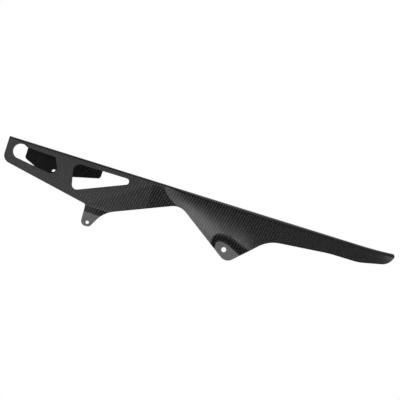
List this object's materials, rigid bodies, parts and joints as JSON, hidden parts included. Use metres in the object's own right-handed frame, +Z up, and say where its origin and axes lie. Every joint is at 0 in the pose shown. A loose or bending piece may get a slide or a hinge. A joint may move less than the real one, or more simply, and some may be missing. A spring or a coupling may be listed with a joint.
{
  "type": "motorcycle chain guard",
  "caption": "Moulded carbon-fibre guard for a motorcycle's drive chain: a long top flange over a twisted, windowed side wall with bolt tabs, a recessed bolt pocket and a slim upswept tail.",
  "frame": {"origin": "centre of the rear bolt hole, on the outer face of its seat", "axes": "+X to the rear of the machine along the straight top edge, +Y inboard, +Z up and square to the top flange"},
  "size_m": [0.5281, 0.0644, 0.0852],
  "materials": {
    "carbon_laminate": "clear-coated black twill carbon-fibre laminate"
  },
  "bodies": {
    "root": {"chain_guard": "carbon_laminate"}
  },
  "joints": []
}
